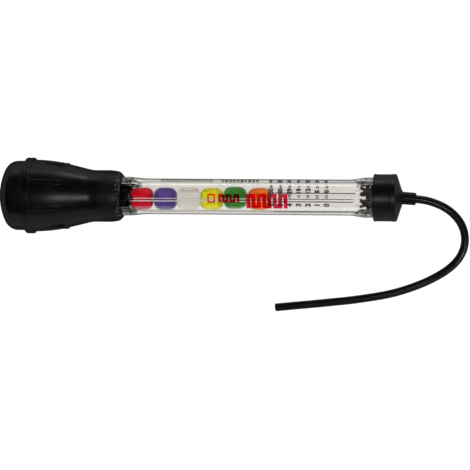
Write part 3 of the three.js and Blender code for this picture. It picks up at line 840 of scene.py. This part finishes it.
def clear_plastic(name, dark, light, painted_edge_colour, rough, ior, tint, painted_dark_ends=()):
    """Clear plastic, in its painted edge colour at low angles and in painted dark blotches towards
    each end, which is given by where it begins, where it is full and how strong it is there. The
    edge colour darkens the limbs: partly as the longer path through the wall darkens them, mostly
    in place of dark reflections. The blotches paint the black rubber seen through the flared ends."""
    mat, tree, shader = material(name)
    cloud = noise(tree, scale=60, detail=3, stretch=(0.25, 1, 1))
    painted_share = added(tree, "LayerWeight").outputs["Facing"]
    for start, full, strength in painted_dark_ends:
        near = ranged(tree, lengthwise(tree), (start, full), (0, strength), "SMOOTHSTEP")
        patch = noise(tree, scale=420, detail=3, stretch=(0.6, 1, 1))
        patch = spread(tree, patch, low=-0.9, high=2.1)
        painted_share = maths(tree, "MULTIPLY_ADD", near, patch, painted_share)
    colour = blended(tree, cloud, (dark, light))
    colour = recoloured(tree, ranged(tree, painted_share, (0.42, 0.68)), colour, painted_edge_colour)
    wave = noise(tree, scale=110, detail=1, stretch=(0.15, 1, 1))
    wave = bumped(tree, wave, strength=0.06, distance=0.0002)
    fed(tree, shader, Base_Color=colour, Roughness=spread(tree, cloud, *rough),
        Normal=wave, Transmission_Weight=1, IOR=ior)
    through_lamps(tree, shader, tint)
    return mat


def ink(name, dark, light):
    mat, tree, shader = material(name)
    worn = noise(tree, scale=1400, detail=3)
    fed(tree, shader, Base_Color=blended(tree, worn, (dark, light), low=0.3, high=0.65),
        Roughness=spread(tree, worn, low=0.3, high=0.5))
    return mat


def wear(piece, mat, body="tester", stands_for=()):
    """Gives a piece its material, its body and the CAD nodes that it replaces."""
    piece.data.materials.clear()
    piece.data.materials.append(mat)
    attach(piece, body)
    if stands_for:
        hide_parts(*stands_for)


# Stage and light

def make_floor():
    """Paper that takes light and shadow. The camera and clear plastic see it as a white glow
    with faint shadows, and gloss mirrors it dimmer."""
    corners = [
        (x * FLOOR_REACH, y * FLOOR_REACH, -FLOOR_DROP)
        for x, y in ((-1, -1), (1, -1), (1, 1), (-1, 1))
    ]
    floor = mesh_piece("floor", corners, [[0, 1, 2, 3]])
    mat, tree, shader = material("floor")
    tree.nodes.remove(shader)
    rays = added(tree, "LightPath").outputs
    glossy, transmitted = rays["Is Glossy Ray"], rays["Is Transmission Ray"]
    seen = maths(tree, "MAXIMUM", rays["Is Camera Ray"], glossy)
    seen = maths(tree, "MAXIMUM", seen, transmitted)
    mirrored = maths(tree, "SUBTRACT", glossy, transmitted, clamp=True)
    strength = ranged(tree, mirrored, (0, 1), (SEEN_WHITE, MIRRORED_WHITE))
    glow = fed(tree, added(tree, "Emission"), Color=WHITE, Strength=strength)
    paper, shade = (
        fed(tree, added(tree, "BsdfDiffuse"), Color=(grey,) * 3).outputs["BSDF"]
        for grey in (PAPER, SHADE)
    )
    shown = chained(tree, added(tree, "AddShader"), glow.outputs["Emission"], shade)
    surface = chained(tree, added(tree, "MixShader"), seen, paper, shown)
    fed(tree, tree.nodes["Material Output"], Surface=surface)
    floor.data.materials.append(mat)


def make_world():
    """Plain light, and white where the camera sees it. Gloss and clear plastic show white
    surroundings that darken upwards."""
    world = bpy.data.worlds.new("world")
    bpy.context.scene.world = world
    world.use_nodes = True
    tree = world.node_tree
    plain = fed(tree, tree.nodes["Background"], Color=WHITE, Strength=PLAIN_LIGHT)
    way = fed(tree, added(tree, "SeparateXYZ"), Vector=added(tree, "TexCoord").outputs["Generated"])
    ceiling = blended(tree, way.outputs["Z"], (WHITE, (CEILING_DARK,) * 3),
                      CEILING_START, CEILING_FULL)
    room = fed(tree, added(tree, "Background"), Color=ceiling)
    white = fed(tree, added(tree, "Background"), Color=WHITE)
    rays = added(tree, "LightPath").outputs
    shown = maths(tree, "MAXIMUM", rays["Is Glossy Ray"], rays["Is Transmission Ray"])
    plain, room, white = (node.outputs["Background"] for node in (plain, room, white))
    lit = chained(tree, added(tree, "MixShader"), shown, plain, room)
    surface = chained(tree, added(tree, "MixShader"), rays["Is Camera Ray"], lit, white)
    fed(tree, tree.nodes["World Output"], Surface=surface)


def lamp(name, place, target, size, power, glossy=True, beam=180, colour=WHITE):
    data = bpy.data.lights.new(name, "AREA")
    data.shape, data.size, data.size_y, data.energy = "RECTANGLE", *size, power
    data.spread, data.color = math.radians(beam), colour
    light = bpy.data.objects.new(name, data)
    bpy.context.scene.collection.objects.link(light)
    light.location = place
    aim = Vector(target) - Vector(place)
    light.rotation_euler = aim.to_track_quat("-Z", "Y").to_euler()
    light.visible_camera = False
    light.visible_transmission = False
    light.visible_glossy = glossy


# The tester. Colours go from dark to light, and roughness from smooth to rough.
make_camera()
hose = build_hose()
bulb = build_bulb()
tube = build_tube()
cap = build_cap()
stops = [build_stop("float_stop_bulb"), build_stop("float_stop_cap")]

hose_rubber = rubber("hose_rubber", (0.0008, 0.0008, 0.0008), (0.0016, 0.0016, 0.0016),
                     rough=(0.24, 0.3))
wear(hose, hose_rubber, stands_for=["suction_hose"])

bulb_rubber = rubber("bulb_rubber", (0.0008, 0.0007, 0.0007), (0.0016, 0.0014, 0.0014),
                     rough=(0.28, 0.34), dull_end=(-0.079, -0.073))
# Pale flecks on the lip at the mouth: painted glints, the highlights of the lip's chamfer.
tinted_past(bulb_rubber, -0.0654, -0.0644, (0.075, 0.072, 0.068), glint_scale=800)
wear(bulb, bulb_rubber, stands_for=["squeeze_bulb"])

cap_rubber = rubber("cap_rubber", (0.0007, 0.0007, 0.0008), (0.0013, 0.0013, 0.0015),
                    rough=(0.34, 0.38), grain=0.05, dulling=0.3)
wear(cap, cap_rubber, stands_for=["end_cap"])

# The tube's edge colour paints its limbs nearly black, partly the longer path through the wall and
# mostly painted dark reflections; its dark ends are painted blotches of the black rubber seen
# through the flares.
tube_plastic = clear_plastic(
    "clear_plastic", (0.82, 0.81, 0.78), (0.85, 0.84, 0.82), painted_edge_colour=(0.01, 0.0095, 0.009),
    rough=(0.01, 0.03), ior=1.5, tint=(0.93, 0.92, 0.9),
    painted_dark_ends=((-0.0475, -0.057, 0.8), (0.11, 0.118, 0.3)),
)
wear(tube, tube_plastic, stands_for=["measuring_tube"])

black = moulded("stop_plastic", (0.003, 0.003, 0.003), (0.006, 0.006, 0.0056),
                rough=(0.25, 0.35), gloss=0.15)
# The cap-side stop gets a lighter copy of the same black plastic: painted light, for how it looks
# lit through the tube.
painted_lit_black = moulded("painted_lit_stop_plastic", (0.016, 0.014, 0.012), (0.045, 0.04, 0.036),
                     rough=(0.3, 0.45))
for stop, mat, node in zip(stops, (black, painted_lit_black), ("float_stop_bulb", "float_stop_cap")):
    wear(stop, mat, stands_for=[node])

FLOAT_COLOURS = {
    "red": ((0.57, 0.003, 0.02), (0.67, 0.005, 0.03)),
    "violet": ((0.09, 0.05, 0.27), (0.115, 0.065, 0.32)),
    "natural": ((0.9, 0.88, 0.83), (0.94, 0.92, 0.88)),
    "yellow": ((0.8, 0.76, 0.008), (0.92, 0.88, 0.012)),
    "green": ((0.04, 0.24, 0.03), (0.055, 0.31, 0.045)),
    "orange": ((0.88, 0.2, 0.02), (1.0, 0.27, 0.03)),
}
for name, middle, turn in FLOATS:
    piece = build_float(name, middle, turn)
    if name == "natural":
        mat = clear_plastic(
            "natural_plastic", *FLOAT_COLOURS[name], painted_edge_colour=(0.86, 0.84, 0.8),
            rough=(0.3, 0.4), ior=1.08, tint=(0.9, 0.88, 0.84),
        )
    else:
        mat = moulded(name + "_plastic", *FLOAT_COLOURS[name])
    wear(piece, mat, body=name + "_float", stands_for=["float_" + name])

black_ink = ink("black_ink", (0.01, 0.01, 0.01), (0.03, 0.03, 0.03))
wear(printed("black_print", black_marks()), black_ink)
red_ink = clear_plastic(
    "red_ink", (0.66, 0.0004, 0.004), (0.72, 0.0006, 0.006), painted_edge_colour=(0.5, 0.0004, 0.004),
    rough=(0.3, 0.5), ior=1.01, tint=(0.8, 0.2, 0.2),
)
wear(printed("red_print", red_marks()), red_ink)

# The flank strips are light grey: painted highlights of the rib flanks. Past the floats they turn
# dark: painted dark rib lines.
rib_glint_paint = moulded("painted_rib_glint", (0.74, 0.72, 0.7), (0.82, 0.8, 0.78))
tinted_past(rib_glint_paint, 0.048, 0.052, (0.16, 0.15, 0.14))
wear(build_rib_flanks(), rib_glint_paint)

# Stage and lamps: place, target and size in metres, then power in watts
make_floor()
make_world()
lamp("back_panel", (0.05, 1.1, 0.2), (0, 0, 0.02), (1.4, 0.08), 1.8, colour=WARM)
lamp("front_panel", (0.05, -1.1, 0.42), (0, 0, 0.02), (1.4, 0.2), 1.3, colour=WARM)
lamp("top_strip", (0.18, -0.16, 1.1), (0.18, 0, 0), (0.24, 0.12), 3.8)
lamp("hose_panel", (0.46, -0.46, 0.42), (0.178, -0.075, 0), (0.3, 0.06), 0.07, beam=20)
lamp("taper_panel", (0.16, 1.05, 0.13), (-0.09, 0, 0.03), (0.24, 0.1), 1.3, colour=WARM)
lamp("soft_box", (0, 0, 1.4), (0, 0, 0), (1.6, 1.6), 30, glossy=False)

scene = bpy.context.scene
scene.view_settings.view_transform = "Standard"
